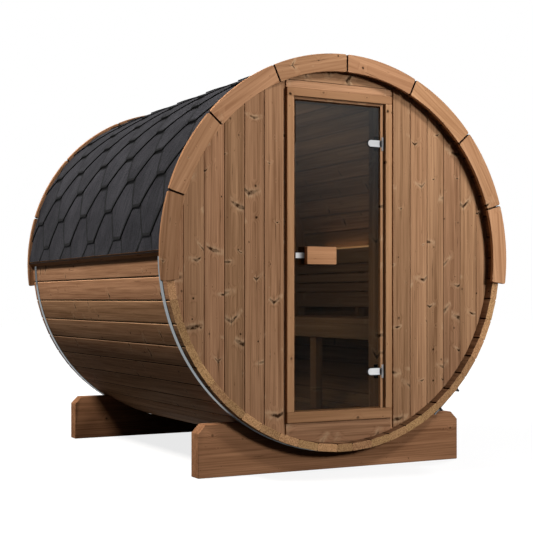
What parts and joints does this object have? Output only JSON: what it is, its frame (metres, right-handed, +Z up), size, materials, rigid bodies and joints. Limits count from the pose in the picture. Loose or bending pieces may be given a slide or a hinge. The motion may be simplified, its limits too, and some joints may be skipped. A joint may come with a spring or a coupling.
{
  "type": "barrel sauna",
  "caption": "Round timber sauna cabin of staves on two cradles, with shingle roof, boarded ends, fascia rings, steel bands, inner bench and a hinged glass door.",
  "frame": {"origin": "on the ground, under the middle of the barrel", "axes": "+X right as seen from the door, +Y from the door to the back wall, +Z up"},
  "size_m": [2.062, 2.181, 2.1279],
  "materials": {
    "stave_wood": "oiled, knotty softwood",
    "wall_wood": "oiled, knotty softwood boards",
    "casing_wood": "planed softwood",
    "fascia_wood": "planed softwood",
    "cradle_wood": "stained softwood beam",
    "inside_wood": "oiled softwood",
    "shingle": "mineral faced bitumen shingle",
    "band_steel": "galvanized",
    "tinted_glass": "bronze tint",
    "hinge_steel": "satin"
  },
  "bodies": {
    "cabin": {"bottom_staves": "stave_wood", "lower_left_staves": "stave_wood", "lower_right_staves": "stave_wood", "left_staves": "stave_wood", "right_staves": "stave_wood", "upper_left_staves": "stave_wood", "top_staves": "stave_wood", "upper_right_staves": "stave_wood", "front_wall_left": "wall_wood", "front_wall_right": "wall_wood", "front_wall_header": "wall_wood", "front_wall_sill": "wall_wood", "rear_wall": "wall_wood", "left_door_post": "wall_wood", "right_door_post": "wall_wood", "door_head": "wall_wood", "door_threshold": "wall_wood", "casing_left": "casing_wood", "casing_right": "casing_wood", "casing_head": "casing_wood", "casing_foot": "casing_wood", "front_fascia": "fascia_wood", "rear_fascia": "fascia_wood", "left_eave_board": "fascia_wood", "right_eave_board": "fascia_wood", "front_cradle": "cradle_wood", "rear_cradle": "cradle_wood", "floor_deck": "inside_wood", "floor_bearers": "inside_wood", "bench_seat": "inside_wood", "bench_apron": "inside_wood", "bench_legs": "inside_wood", "backrest_slats": "inside_wood", "backrest_posts": "inside_wood", "roof_left": "shingle", "roof_right": "shingle", "front_band": "band_steel", "rear_band": "band_steel", "front_band_tensioner": "band_steel", "rear_band_tensioner": "band_steel", "hinge_plates": "hinge_steel"},
    "door": {"door_glass": "tinted_glass", "hinge_clamps": "hinge_steel", "outer_handle": "casing_wood", "inner_handle": "casing_wood", "door_latch": "hinge_steel"}
  },
  "joints": [
    {"name": "door_swing", "type": "hinge", "parent": "cabin", "child": "door", "pos_m": [0.257, -1.011, 1.1], "axis": [0, 0, 1], "range_deg": [0, 105]}
  ]
}
